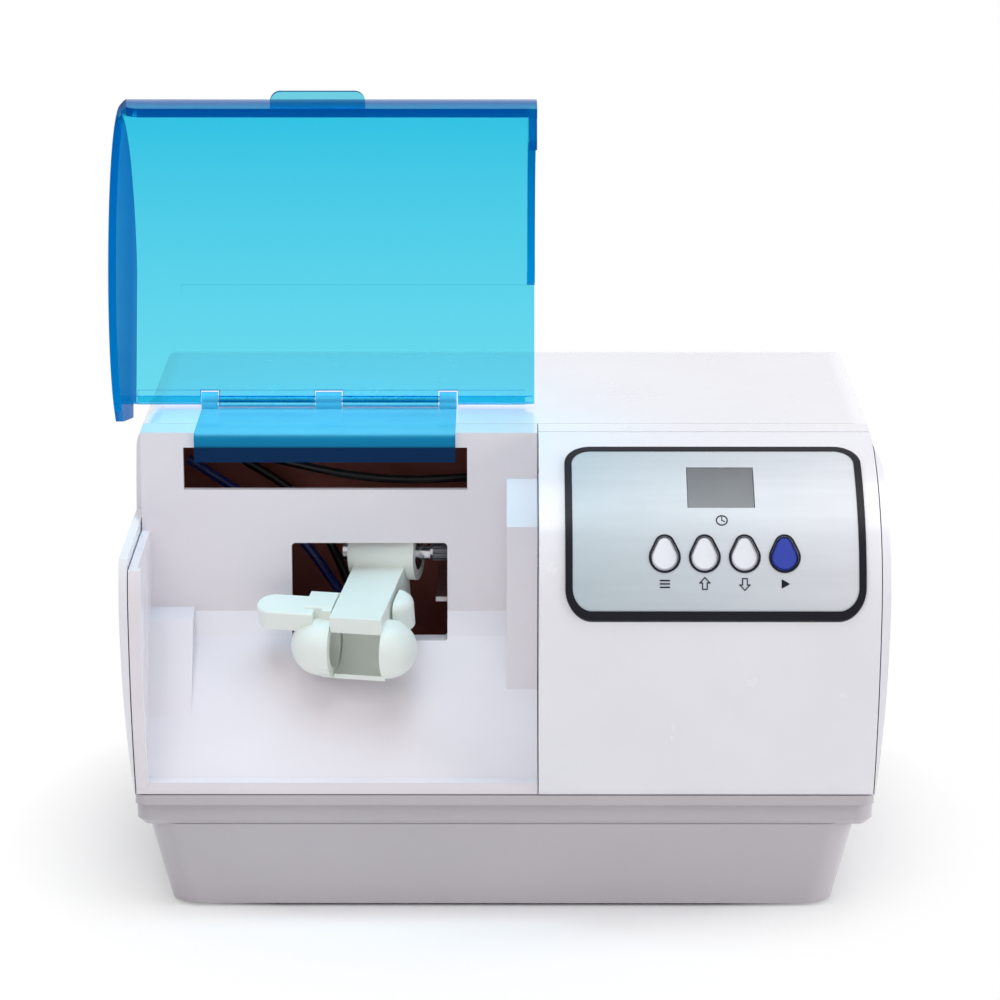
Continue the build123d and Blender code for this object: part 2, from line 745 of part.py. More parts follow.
def capsule_jaw():
    """Left cup with its ring, lug and finger tongue, which swings out to release the capsule."""
    mouth = -arm_half - jaw_gap
    ring = rod((mouth, capsule_y, capsule_z), (mouth - ring_width, capsule_y, capsule_z), ring_radius)
    cup = domed_cup(-1, mouth, left_cup_radius, 4.0)
    brow = block((mouth - ring_width, mouth), (capsule_y - 1.0, -27.6), (capsule_z, arm_top + 0.2))
    shoulder = block((-17.0, mouth), (-36.0, -26.2), (-8.6, arm_top + 0.6))
    shoulder = fillet(shoulder.edges().filter_by(Axis.X).group_by(Axis.Z)[-1], 0.8)
    lug = rod((*jaw_pin, jaw_lug[0]), (*jaw_pin, jaw_lug[1]), 4.0)
    neck = block((mouth - ring_width, jaw_pin[0]), (-24.8, -18.5), jaw_lug)
    heel = block((mouth - ring_width, mouth), (-32.0, -18.5), jaw_lug)
    tongue = block(tongue_x, tongue_y, tongue_z)
    tip = tongue.edges().filter_by(Axis.Z).group_by(Axis.X)[0]
    tongue = fillet(tip, 5.2)
    rim = tongue.faces().sort_by(Axis.Z)[-1].edges()
    tongue = chamfer(rim, 0.4)
    jaw = ring + cup + brow + shoulder + lug + neck + heel + tongue
    jaw = jaw - rod((mouth + 1, capsule_y, capsule_z), (mouth - cup_depth, capsule_y, capsule_z), cup_cavity)
    jaw = jaw - rod((*jaw_pin, -20), (*jaw_pin, 0), jaw_pin_radius + running_clearance)
    for i in range(5):
        angle = radians(198 + 15 * i)
        y = capsule_y + ring_radius * sin(angle + pi / 2)
        z = capsule_z - ring_radius * cos(angle + pi / 2)
        jaw = jaw - rod((mouth - ring_width - 1, y, z), (mouth + 1, y, z), 0.55)
    return arm_frame * jaw


def jaw_hinge_pin():
    low = (*jaw_pin, jaw_lug[0] - 2.4)
    return arm_frame * rod(low, (*jaw_pin, arm_top - 1.25), jaw_pin_radius)


def jaw_spring():
    """Torsion spring round the jaw pin, drawn as its closed coil."""
    low = (*jaw_pin, jaw_lug[1] + 0.15)
    return arm_frame * tube(low, (*jaw_pin, arm_top - arm_plate - 0.1), 3.2, jaw_pin_radius + 0.12)


bearing_x = (-8.0, 2.0)


def bearing_block():
    body = block(bearing_x, (drive_y - 7.0, drive_y + 7.0), (bench_top(), drive_z + 8))
    body = fillet(body.faces().sort_by(Axis.Z)[-1].edges().filter_by(Axis.X), 5)
    feet = block(bearing_x, (drive_y - 7.0, drive_y + 14), (bench_top(), bench_top() + 3))
    bore = rod((bearing_x[0] - 1, drive_y, drive_z), (bearing_x[1] + 1, drive_y, drive_z), 6.0)
    return body + feet - bore


def bench_top():
    return bench_z + motor_plate_thickness


def main_bearing():
    low = (bearing_x[0] + 1, drive_y, drive_z)
    return tube(low, (bearing_x[1] - 1, drive_y, drive_z), 5.99, shaft_radius + 0.05)


def drive_motor():
    x0, x1 = motor_x
    can = rod((x0, drive_y, drive_z), (x1, drive_y, drive_z), motor_radius)
    boss = rod((x0 - 2.5, drive_y, drive_z), (x0, drive_y, drive_z), 6.0)
    tail = rod((x1, drive_y, drive_z), (x1 + 4, drive_y, drive_z), 5.0)
    bore = rod((x0 - 4, drive_y, drive_z), (x0 + 6, drive_y, drive_z), shaft_radius + 0.6)
    return can + boss + tail - bore


def motor_strap():
    """Saddle and strap that clamp the motor to its plate."""
    x = (motor_x[0] + 14, motor_x[1] - 14)
    ring = tube((x[0], drive_y, drive_z), (x[1], drive_y, drive_z), motor_radius + 1.6, motor_radius + 0.05)
    feet = block(x, (drive_y - 27, drive_y + 27), (plate_z + motor_plate_thickness, plate_z + 3.1))
    cheeks = block(x, (drive_y - 19.0, drive_y + 19.0), (plate_z + motor_plate_thickness, drive_z - 10))
    bore = rod((x[0] - 1, drive_y, drive_z), (x[1] + 1, drive_y, drive_z), motor_radius + 0.05)
    return ring + (feet + cheeks - bore)


def motor_plate():
    """Plate under the motor with a raised bench at its left end for the bearing block."""
    plate = block((16, 106), (-42.5, 16), (plate_z, plate_z + motor_plate_thickness))
    bench = block((-19.5, 17.5), (-41.2, -7), (bench_z, bench_top()))
    riser = block((16, 17.5), (-42.5, -7), (plate_z, bench_top()))
    plate = plate + bench + riser
    for x in (24.0, 98.0):
        for y in (-32.0, 6.0):
            plate = plate - rod((x, y, plate_z - 2), (x, y, plate_z + 4), 3.0)
    return plate


def plate_grommets():
    grommets = []
    for x in (24.0, 98.0):
        for y in (-32.0, 6.0):
            lower = rod((x, y, plate_z - 5.98), (x, y, plate_z - 0.02), 5.5)
            grommets.append(lower + rod((x, y, plate_z - 0.5), (x, y, plate_z + 2.6), 2.98))
    return Compound(children=grommets)


# ---- inside of the case ----------------------------------------------------------------------------
def insulation_board():
    return block((-104, 4), (-4.0, -2.4), (42, 137))


def power_board():
    board = block((-100, -14), (8, 78), (34, 35.6))
    bridge = block((-92, -78), (20, 28), (35.62, 48))
    relay = block((-60, -42), (14, 30), (35.62, 51))
    return Compound(children=[board, bridge, relay])


def transformer():
    core = block((20, 62), (28, 64), (34, 68))
    coil = block((26, 56), (23, 69), (40, 62))
    return core + coil


def board_posts():
    """Square pillars that stand on the floor and carry the power board and the transformer."""
    low = base_bottom + wall + 0.02
    posts = []
    for x, y in [(x, y) for x in (-94.0, -20.0) for y in (14.0, 72.0)]:
        posts.append(block((x - 2.6, x + 2.6), (y - 2.6, y + 2.6), (low, 33.98)))
    for x, y in [(x, y) for x in (26.0, 56.0) for y in (32.0, 60.0)]:
        posts.append(block((x - 3, x + 3), (y - 3, y + 3), (low, 33.98)))
    return Compound(children=posts)


def smoothing_capacitor():
    return rod((-36, 56, 35.62), (-36, 56, 64), 9.0)


def wire(points, radii, radius):
    path = FilletPolyline(*points, radius=radii)
    start = path @ 0
    section = Plane(origin=start, z_dir=path % 0) * Circle(radius)
    return sweep(section, path=path)


def corner_radii(points):
    """Largest arc that each corner's two runs allow."""
    radii = []
    for before, here, after in zip(points, points[1:], points[2:]):
        inward = Vector(*here) - Vector(*before)
        outward = Vector(*after) - Vector(*here)
        turn = radians(inward.get_angle(outward))
        radii.append(0.45 * min(inward.length, outward.length) * cos(turn / 2) / sin(turn / 2))
    return radii


blue_route = [(-98, -17, 128), (-64, -19, 106), (-46, -18, 78), (-40, -19, 54)]
black_route = [(-92, -10, 133), (-60, -11, 113), (-47, -10, 84), (-44, -12, 60)]
motor_route = [(-78, -26, 132), (-38, -27, 123), (4, -22, 124), (34, -12, 127)]


def motor_wires():
    return wire(motor_route, corner_radii(motor_route), 1.3)


def blue_wire():
    return wire(blue_route, corner_radii(blue_route), 1.5)


def black_wire():
    return wire(black_route, corner_radii(black_route), 1.4)


# ---- rear fittings ---------------------------------------------------------------------------------
inlet_x = (58.0, 86.0)
inlet_z = (48.0, 68.0)
rocker_x = (20.0, 39.0)
rocker_z = (51.0, 64.0)
rocker_pin_radius = 1.2
fuse_x = (-20.0, 4.0)
fuse_z = 58.0


def mains_inlet():
    """Flanged appliance inlet with three flat pins in its socket."""
    y = case_back
    left, right = inlet_x
    low, high = inlet_z
    flange = block((left - 11, right + 11), (y + 0.02, y + 2.6), (low - 3, high + 3))
    flange = fillet(flange.edges().filter_by(Axis.Y), 3)
    inlet = flange + block((left + 0.2, right - 0.2), (y - 20, y + 1), (low + 0.2, high - 0.2))
    inlet = inlet - block((left + 2.4, right - 2.4), (y - 17, y + 4), (low + 2.4, high - 2.4))
    for dx, dz in ((-7.0, -1.5), (0.0, 2.5), (7.0, -1.5)):
        x = (left + right) / 2 + dx
        z = (low + high) / 2 + dz
        inlet = inlet + block((x - 1, x + 1), (y - 18, y - 2), (z - 2, z + 2))
    return inlet


def inlet_screws():
    z = sum(inlet_z) / 2
    y = case_back + 2.62
    screws = []
    for x in (inlet_x[0] - 6.0, inlet_x[1] + 6.0):
        head = rod((x, y, z), (x, y + 1.4, z), 2.9)
        screws.append(head - block((x - 4, x + 4), (y + 0.8, y + 3), (z - 0.4, z + 0.4)))
    return Compound(children=screws)


def rocker_axis(z, radius):
    """Round bar on the rocker's tipping axis."""
    x = sum(rocker_x) / 2
    y = case_back - 0.4
    return rod((x, y, z[0]), (x, y, z[1]), radius)


def rocker_frame():
    y = case_back
    left, right = rocker_x
    low, high = rocker_z
    flange = block((left - 1.5, right + 1.5), (y + 0.02, y + 2.0), (low - 1.5, high + 1.5))
    body = block((left + 0.2, right - 0.2), (y - 14, y + 1), (low + 0.2, high - 0.2))
    hollow = block((left + 2, right - 2), (y - 9, y + 3), (low + 1.6, high - 1.6))
    sockets = rocker_axis((low + 0.7, high - 0.7), rocker_pin_radius + running_clearance)
    return flange + body - hollow - sockets


def power_rocker():
    """Rocker that tips about a vertical pin; it rests tipped to one side."""
    half = (rocker_x[1] - rocker_x[0]) / 2 - 3.3
    z = (rocker_z[0] + 2.0, rocker_z[1] - 2.0)
    face = polygon((-half, 1.2), (0, 2.0), (half, 3.6), (half * 0.7, -2.6), (-half * 0.7, -2.6))
    body = extrude(face, z[1] - z[0])
    pins = rocker_axis((rocker_z[0] + 0.9, rocker_z[1] - 0.9), rocker_pin_radius)
    return Pos(sum(rocker_x) / 2, case_back - 0.4, z[0]) * body + pins


def fuse_holders():
    y = case_back
    holders = []
    for x in fuse_x:
        holder = rod((x, y - 24, fuse_z), (x, y + 1, fuse_z), 5.9)
        holder = holder + rod((x, y + 0.02, fuse_z), (x, y + 2.0, fuse_z), 8.0)
        holder = holder + rod((x, y + 1.9, fuse_z), (x, y + 6.0, fuse_z), 6.2)
        slot = block((x - 7, x + 7), (y + 4.8, y + 7), (fuse_z - 0.6, fuse_z + 0.6))
        holders.append(holder - slot)
    return Compound(children=holders)


# ---- write every piece -----------------------------------------------------------------------------
def pieces():
    parts = {
        "lower_case": lower_case(),
        "rubber_feet": rubber_feet(),
        "case_screws": case_screws(),
        "upper_cover": upper_cover(),
        "control_fascia": control_fascia(),
        "panel_overlay": panel_overlay(),
        "panel_border": panel_border(),
        "key_surrounds": key_surrounds(),
        "display_window": display_window(),
        "display_module": display_module(),
        "control_board": control_board(),
        "tact_switches": tact_switches(),
        "mixing_chamber": mixing_chamber(),
        "lid_switch": lid_switch(),
        "lid": lid(),
        "hinge_plate": hinge_plate(),
        "hinge_pin": hinge_pin(),
        "drive_shaft": drive_shaft(),
        "shaft_collar": shaft_collar(),
        "journal_bearings": journal_bearings(),
        "capsule_arm": capsule_arm(),
        "capsule_jaw": capsule_jaw(),
        "jaw_hinge_pin": jaw_hinge_pin(),
        "jaw_spring": jaw_spring(),
        "bearing_block": bearing_block(),
        "main_bearing": main_bearing(),
        "drive_motor": drive_motor(),
        "motor_strap": motor_strap(),
        "motor_plate": motor_plate(),
        "plate_grommets": plate_grommets(),
        "insulation_board": insulation_board(),
        "power_board": power_board(),
        "board_posts": board_posts(),
        "transformer": transformer(),
        "smoothing_capacitor": smoothing_capacitor(),
        "motor_wires": motor_wires(),
        "blue_wire": blue_wire(),
        "black_wire": black_wire(),
        "mains_inlet": mains_inlet(),
        "inlet_screws": inlet_screws(),
        "rocker_frame": rocker_frame(),
        "power_rocker": power_rocker(),
        "fuse_holders": fuse_holders(),
    }
    names = ("mode_key", "up_key", "down_key", "start_key")
    for index, name in enumerate(names):
        parts[name] = panel_key(index)
    return parts


os.makedirs("parts", exist_ok=True)
for name, shape in pieces().items():
    export_step(shape, f"parts/{name}.step")
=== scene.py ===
"""Looks for the dental amalgamator: the finish of every piece, and the stage it stands on.

Every node gets a procedural material by its record slot, and the panel gets its printed marks.
A pale floor, a soft sky, three softboxes and a camera are set around them.
"""

import json
import math

import bmesh
import bpy
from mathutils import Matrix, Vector
from mathutils.bvhtree import BVHTree

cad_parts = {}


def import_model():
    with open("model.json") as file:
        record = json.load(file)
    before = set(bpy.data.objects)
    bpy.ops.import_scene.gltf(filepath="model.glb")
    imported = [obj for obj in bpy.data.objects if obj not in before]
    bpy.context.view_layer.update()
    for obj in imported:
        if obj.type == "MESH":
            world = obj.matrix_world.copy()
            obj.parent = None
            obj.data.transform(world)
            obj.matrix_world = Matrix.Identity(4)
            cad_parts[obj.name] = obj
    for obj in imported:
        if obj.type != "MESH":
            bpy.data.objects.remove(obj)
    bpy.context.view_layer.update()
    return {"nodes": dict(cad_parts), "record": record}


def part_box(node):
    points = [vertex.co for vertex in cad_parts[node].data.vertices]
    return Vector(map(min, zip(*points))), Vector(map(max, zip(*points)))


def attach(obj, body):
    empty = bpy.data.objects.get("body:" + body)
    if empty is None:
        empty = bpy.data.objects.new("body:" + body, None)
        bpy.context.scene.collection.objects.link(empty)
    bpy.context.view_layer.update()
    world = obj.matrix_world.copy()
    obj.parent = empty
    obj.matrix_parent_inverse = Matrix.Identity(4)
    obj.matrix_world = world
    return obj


MM = 0.001

# ---- view: the camera stands in front of the bulge of the case, and looks slightly down ----------
VIEW_TARGET = Vector((2.0, -95.0, 100.0)) * MM
VIEW_DISTANCE = 1.150
VIEW_ELEVATION = math.radians(16.5)
VIEW_AZIMUTH = math.radians(0.0)
IMAGE_SIDE = 1000.0
FOCAL_PIXELS = 3860.0
TARGET_PIXEL = (505.0, 614.0)
SENSOR_WIDTH = 36.0
CLIP_END = 50.0

# ---- printed marks on the panel, in millimetres; angles are degrees forward from straight up -----
SHOULDER_CENTER = (-59.0, 100.0)  # y and z of the arc that the panel follows
SHOULDER_RADIUS = 36.0
KEY_FIRST_X = 49.6
KEY_PITCH = 11.9
MARK_ANGLE = 75.5
CLOCK_MARK = (66.8, 44.5)  # x and angle
MARK_START = 12.0  # a mark starts this far outside the arc, and is laid down on the panel
MARK_PROUD = 0.10
MARK_DEPTH = 1.3  # the print's thickness over MARK_PROUD: it reaches a little into the panel
LINE = 0.32  # widths of the printed lines
BAR = 0.42
RIM = 0.38

# ---- clear blue pieces, in metres ----------------------------------------------------------------
TINT_HEIGHTS = (0.152, 0.2528)  # the open lid, from its rear edge to the pull tab's tip
TAB_FOOT = 0.983  # where the tab starts, as a share of those heights
DEEPEST = 0.87  # where the tint is deepest
PLATE_HEIGHTS = (0.1346, 0.1436)  # the hinge plate's painted light and shade, from its lower edge to its top
TINT_LIGHT = (0.145, 0.70, 0.86, 1)
TINT_DEEP = (0.03, 0.54, 0.77, 1)
TINT_TAB = (0.16, 0.62, 0.76, 1)
GRAZING = (0.74, 0.88)  # Facing values over which the tint runs together
GRAZING_CLEARNESS = 0.1  # what is left of the sheet's clearness there
REAR_EDGE = 0.152  # faces of the lid below this height belong to its rear edge
EDGE_DEPTH = 2.9 * MM  # a face with more sheet than this behind it is seen edge on
SKIN = 0.02 * MM  # a ray into the sheet starts this far under the face
LIP_REACH = 6.0 * MM  # the front lip starts this far behind the lid's front
TAB_REACH = 5.0 * MM  # the pull tab starts this far below the lid's top

# ---- stage, in metres ----------------------------------------------------------------------------
FLOOR_REACH = 6.0  # from the middle to each side
FLOOR_FADE = (0.1, 0.16)  # from the floor's own colour to plain white
SOFT_SKY = ((0.93, 0.95, 1.0, 1.0), 0.42)  # colour and strength
WHITE_SKY = ((1, 1, 1, 1), 1.0)

CREASE_ANGLE = math.radians(32.0)
NOISE_RANGE = (0.3, 0.7)  # most of a noise texture's values


# ---- materials -----------------------------------------------------------------------------------
def linear(red, green, blue):
    """Linear colour from 0-255 display values."""
    out = []
    for value in (red, green, blue):
        v = value / 255
        out.append(v / 12.92 if v <= 0.04045 else ((v + 0.055) / 1.055) ** 2.4)
    return (*out, 1.0)


def shade(color, factor):
    return (color[0] * factor, color[1] * factor, color[2] * factor, 1.0)


class Nodes:
    """Small builder for the node tree of a material or a world."""

    def __init__(self, owner, output="ShaderNodeOutputMaterial"):
        self.owner = owner
        owner.use_nodes = True
        self.tree = owner.node_tree
        self.tree.nodes.clear()
        self.output = self.add(output)

    def add(self, kind, **attributes):
        node = self.tree.nodes.new(kind)
        for key, value in attributes.items():
            setattr(node, key, value)
        return node

    def link(self, source, target):
        self.tree.links.new(source, target)

    def coordinates(self):
        """Coordinates of the object that wears the material."""
        return self.add("ShaderNodeTexCoord").outputs["Object"]

    def feed(self, value, target):
        """Links a socket, or sets a constant."""
        if isinstance(value, bpy.types.NodeSocket):
            self.link(value, target)
        else:
            target.default_value = value

    def noise(self, scale, detail=3.0, stretch=(1, 1, 1)):
        mapping = self.add("ShaderNodeMapping")
        mapping.inputs["Scale"].default_value = stretch
        self.link(self.coordinates(), mapping.inputs["Vector"])
        texture = self.add("ShaderNodeTexNoise")
        texture.inputs["Scale"].default_value = scale
        texture.inputs["Detail"].default_value = detail
        self.link(mapping.outputs["Vector"], texture.inputs["Vector"])
        return texture.outputs["Fac"]

    def ramp(self, factor, low, high, start=0.35, end=0.65, stops=()):
        node = self.add("ShaderNodeValToRGB")
        colors = node.color_ramp.elements
        colors[0].position = start
        colors[0].color = low
        colors[1].position = end
        colors[1].color = high
        for place, color in stops:
            colors.new(place).color = color
        self.link(factor, node.inputs["Fac"])
        return node.outputs["Color"]

    def remap(self, value, source, target=(0.0, 1.0)):
        """Value moved from one range to another, and held at its ends."""
        node = self.add("ShaderNodeMapRange")
        node.inputs["From Min"].default_value, node.inputs["From Max"].default_value = source
        node.inputs["To Min"].default_value, node.inputs["To Max"].default_value = target
        self.link(value, node.inputs["Value"])
        return node.outputs["Result"]

    def span(self, factor, low, high):
        return self.remap(factor, NOISE_RANGE, (low, high))

    def along(self, axis, start, end):
        """0 to 1 between two places on an axis of the object."""
        split = self.add("ShaderNodeSeparateXYZ")
        self.link(self.coordinates(), split.inputs["Vector"])
        return self.remap(split.outputs[axis], (start, end))

    def mix(self, factor, first, second, blend="MIX"):
        node = self.add("ShaderNodeMix", data_type="RGBA", blend_type=blend)
        self.feed(factor, node.inputs["Factor"])
        self.feed(first, node.inputs["A"])
        self.feed(second, node.inputs["B"])
        return node.outputs["Result"]

    def bump(self, height, strength, distance):
        node = self.add("ShaderNodeBump")
        node.inputs["Strength"].default_value = strength
        node.inputs["Distance"].default_value = distance
        self.link(height, node.inputs["Height"])
        return node.outputs["Normal"]

    def principled(self, color, roughness=None, normal=None, **constants):
        shader = self.add("ShaderNodeBsdfPrincipled")
        for key, value in constants.items():
            shader.inputs[key.replace("_", " ")].default_value = value
        self.link(color, shader.inputs["Base Color"])
        if roughness is not None:
            self.link(roughness, shader.inputs["Roughness"])
        if normal is not None:
            self.link(normal, shader.inputs["Normal"])
        self.link(shader.outputs["BSDF"], self.output.inputs["Surface"])
        return shader

    def mix_surface(self, factor, first, second):
        mixed = self.add("ShaderNodeMixShader")
        self.link(factor, mixed.inputs["Fac"])
        self.link(first, mixed.inputs[1])
        self.link(second, mixed.inputs[2])
        self.link(mixed.outputs["Shader"], self.output.inputs["Surface"])

    def background_rays(self):
        """1 on the camera, glossy and transmission rays, which see the plain background."""
        path = self.add("ShaderNodeLightPath")
        total = path.outputs["Is Camera Ray"]
        for kind in ("Is Glossy Ray", "Is Transmission Ray"):
            both = self.add("ShaderNodeMath", operation="ADD", use_clamp=True)
            self.link(total, both.inputs[0])
            self.link(path.outputs[kind], both.inputs[1])
            total = both.outputs[0]
        return total


def material_nodes(name):
    return Nodes(bpy.data.materials.new(name))


def moulded(name, color, roughness, mottle=0.035, grain=900.0, relief=0.03, **constants):
    """Injection-moulded plastic: faint flow mottle, a fine skin and an uneven gloss."""
    n = material_nodes(name)
    n.principled(
        n.ramp(n.noise(scale=22.0, detail=4.0), shade(color, 1 - mottle), color),
        n.span(n.noise(scale=60.0, detail=5.0), *roughness),
        n.bump(n.noise(scale=grain, detail=2.0), strength=relief, distance=0.0004),
        **constants,
    )
    return n.owner


def tinted_sheet():
    """Clear blue sheet.

    It deepens away from the hinge, and its tint runs together at a grazing angle.
    """
    n = material_nodes("tinted_acrylic")
    grazing = n.remap(n.add("ShaderNodeLayerWeight").outputs["Facing"], GRAZING)
    body = n.ramp(
        n.along("Z", *TINT_HEIGHTS),
        TINT_LIGHT,
        TINT_TAB,
        start=0.0,
        end=1.0,
        stops=((DEEPEST, TINT_DEEP), (TAB_FOOT, TINT_DEEP)),
    )
    shader = n.principled(
        n.mix(grazing, body, linear(4, 96, 166)),
        n.span(n.noise(scale=35.0, detail=3.0), 0.06, 0.12),
        n.bump(n.noise(scale=26.0, detail=2.0), strength=0.02, distance=0.002),
        Specular_IOR_Level=0.2,
        IOR=1.03,
    )
    clearness = n.remap(grazing, (0.0, 1.0), (1.0, GRAZING_CLEARNESS))
    n.link(clearness, shader.inputs["Transmission Weight"])
    return n.owner


def tinted_plate():
    """The lid's hinge plate, with painted light and shade: bright on top, deeper down its front and
    darkest at its foot.
    """
    n = material_nodes("tinted_plate")
    n.principled(
        # painted light in bright cyan on the top, painted shade in teal down the front and navy at
        # the foot
        n.ramp(
            n.along("Z", *PLATE_HEIGHTS),
            linear(2, 56, 104),
            linear(100, 215, 250),
            start=0.5,
            end=1.0,
            stops=((0.56, linear(14, 142, 188)), (0.92, linear(24, 156, 200))),
        ),
        n.span(n.noise(scale=40.0, detail=3.0), 0.08, 0.16),
        n.bump(n.noise(scale=30.0, detail=2.0), strength=0.02, distance=0.002),
        Transmission_Weight=0.45,
        Specular_IOR_Level=0.2,
        IOR=1.2,
    )
    return n.owner


def tinted_edge():
    """The sheet seen edge on, where the tint has run together to a deep blue."""
    n = material_nodes("tinted_edge")
    height = n.along("Z", *TINT_HEIGHTS)
    n.principled(
        n.ramp(height, linear(0, 146, 224), linear(0, 80, 150), start=0.0, end=1.0),
        n.span(n.noise(scale=60.0, detail=3.0), 0.3, 0.4),
        n.bump(n.noise(scale=90.0, detail=2.0), strength=0.02, distance=0.001),
        Transmission_Weight=0.3,
        Specular_IOR_Level=0.12,
        IOR=1.03,
    )
    return n.owner


def metal(name, color, roughness, lines=(1, 40, 40), relief=0.05):
    """Turned or drawn metal; lines is the stretch of its fine streaks."""
    n = material_nodes(name)
    streak = n.noise(scale=120.0, detail=3.0, stretch=lines)
    n.principled(
        n.ramp(streak, shade(color, 0.82), color),
        n.span(n.noise(scale=300.0, detail=2.0), *roughness),
        n.bump(streak, strength=relief, distance=0.0003),
        Metallic=1.0,
    )
    return n.owner


def board(name, color):
    """Pressed board with dark flecks and a satin face."""
    n = material_nodes(name)
    n.principled(
        n.ramp(n.noise(scale=38.0, detail=6.0), shade(color, 0.55), color, start=0.3, end=0.7),
        n.span(n.noise(scale=90.0, detail=4.0), 0.45, 0.65),
        n.bump(n.noise(scale=500.0, detail=2.0), strength=0.15, distance=0.0003),
    )
    return n.owner


def brushed_label():
    """Silver film with a fine sideways brushing, and a painted reflection that makes it a little
    lighter towards the right.
    """
    n = material_nodes("brushed_silver_film")
    low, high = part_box("panel_overlay")
    streak = n.noise(scale=260.0, detail=3.0, stretch=(0.08, 1, 1))
    # painted reflection: the silver runs from darker at the left to lighter at the right
    painted_reflection_fade = n.along("X", low.x, high.x)
    silver = n.ramp(painted_reflection_fade, linear(184, 196, 202), linear(216, 217, 222), start=0.0, end=1.0)
    brushing = n.ramp(streak, (0.95, 0.95, 0.95, 1), (1, 1, 1, 1))
    n.principled(
        n.mix(1.0, silver, brushing, blend="MULTIPLY"),
        n.span(n.noise(scale=80.0, detail=3.0), 0.42, 0.5),
        n.bump(streak, strength=0.012, distance=0.0002),
        Metallic=0.1,
    )
    return n.owner


def smoked_display():
    """Smoked window, with painted shade that makes it darker towards its upper edge."""
    n = material_nodes("smoked_display")
    low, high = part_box("display_window")
    height = n.along("Z", low.z, high.z)
    n.principled(
        # painted shade: the smoked colour darkens from the lower edge to the upper edge
        n.ramp(height, linear(104, 111, 116), linear(70, 76, 84), start=0.1, end=1.0),
        n.span(n.noise(scale=50.0, detail=2.0), 0.12, 0.2),
        n.bump(n.noise(scale=700.0, detail=1.0), strength=0.02, distance=0.0002),
    )
    return n.owner


def materials():
    """One finish for each record slot, by the slot's name, and the two further tints of blue."""
    gloss = dict(Coat_Weight=0.25, Coat_Roughness=0.08)
    satin = (0.28, 0.38)
    return {
        "white_shell": moulded("white_gloss_case", linear(238, 235, 240), (0.2, 0.28), **gloss),
        "base_shell": moulded("white_base", linear(190, 184, 188), satin, **gloss),
        "chamber_white": moulded("white_chamber", linear(234, 227, 232), (0.18, 0.26), **gloss),
        "tinted_lid": tinted_sheet(),
        "tint_edge": tinted_edge(),
        "tint_plate": tinted_plate(),
        "mechanism_white": moulded(
            "pale_green_white_nylon",
            linear(239, 244, 237),
            satin,
            mottle=0.03,
            grain=700.0,
            relief=0.05,
        ),
        "steel": metal("bright_steel", linear(205, 206, 210), (0.2, 0.34)),
        "knurled_steel": metal(
            "grey_knurled_steel",
            linear(122, 122, 132),
            (0.34, 0.46),
            lines=(40, 4, 4),
            relief=0.4,
        ),
        "zinc_plate": metal(
            "zinc_plate", linear(176, 176, 178), (0.34, 0.5), lines=(30, 30, 30)
        ),
        "motor_can": moulded(
            "grey_motor_paint", linear(88, 90, 95), (0.35, 0.5), mottle=0.1
        ),
        "label_silver": brushed_label(),
        "label_black": moulded(
            "black_print",
            linear(24, 24, 34),
            (0.3, 0.4),
            mottle=0.15,
            Specular_IOR_Level=0.15,
        ),
        "smoked_window": smoked_display(),
        "black_plastic": moulded(
            "black_plastic",
            linear(33, 33, 37),
            (0.4, 0.55),
            mottle=0.12,
            grain=500.0,
            relief=0.12,
        ),
        "circuit_board": board("green_circuit_board", linear(38, 92, 58)),
        "brown_board": board("red_brown_board", linear(178, 94, 78)),
        "rubber": moulded(
            "black_rubber",
            linear(30, 30, 31),
            (0.65, 0.85),
            mottle=0.2,
            grain=350.0,
            relief=0.25,
        ),
        "nylon": moulded("natural_nylon", linear(222, 220, 212), (0.4, 0.5)),
        "transformer_core": moulded(
            "varnished_core", linear(70, 68, 78), (0.35, 0.5), mottle=0.2
        ),
        "blue_insulation": moulded(
            "dark_blue_insulation", linear(26, 40, 118), (0.25, 0.35), mottle=0.1
        ),
        "black_insulation": moulded(
            "black_insulation", linear(17, 15, 20), (0.28, 0.4), mottle=0.1
        ),
        "key_white": moulded("white_key", linear(234, 236, 241), (0.22, 0.3), **gloss),
        "key_blue": moulded(
            "blue_key", linear(16, 50, 166), (0.2, 0.28), mottle=0.06, **gloss
        ),
    }


def wear(node, material):
    node.data.materials.clear()
    node.data.materials.append(material)


def dress(frame, made):
    """Gives every node the finish of its record slot."""
    nodes = frame["nodes"]
    for part in frame["record"]["subparts"]:
        wear(nodes[part["node"]], made[part["material_slot"]])
        smooth(nodes[part["node"]])
    wear(nodes["hinge_plate"], made["tint_plate"])
    mark_edges(nodes["lid"], made["tint_edge"])
    for name in ("lid", "hinge_plate"):
        nodes[name].visible_shadow = False  # clear sheet lets the light through


def smooth(node):
    """Shades curved faces smooth and keeps the edges that are sharper than the crease angle."""
    faces = bmesh.new()
    faces.from_mesh(node.data)
    for edge in faces.edges:
        shared = len(edge.link_faces) == 2
        edge.smooth = shared and edge.calc_face_angle(math.pi) < CREASE_ANGLE
    for face in faces.faces:
        face.smooth = True
    faces.to_mesh(node.data)
    faces.free()
    weighted = node.modifiers.new("weighted_normals", "WEIGHTED_NORMAL")
    weighted.keep_sharp = True


def mark_edges(node, material):
    """Gives the faces of a clear sheet that are seen edge on their own tint."""
    node.data.materials.append(material)
    low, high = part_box(node.name)
    sheet = BVHTree.FromObject(node, bpy.context.evaluated_depsgraph_get())
    for face in node.data.polygons:
        place, normal = face.center, face.normal
        if place.z < REAR_EDGE and abs(normal.y) > 0.5:  # the sheet's faces beside the hinge
            edge = False
        elif place.z < REAR_EDGE and normal.z < -0.9:  # the rear edge itself
            edge = True
        elif normal.y < -0.9 and place.y < low.y + LIP_REACH and place.z < high.z - TAB_REACH:
            edge = True  # the front lip, up to the tab
        else:
            depth = sheet.ray_cast(place - normal * SKIN, -normal)[3]
            edge = bool(depth and depth > EDGE_DEPTH)
        face.material_index = 1 if edge else 0


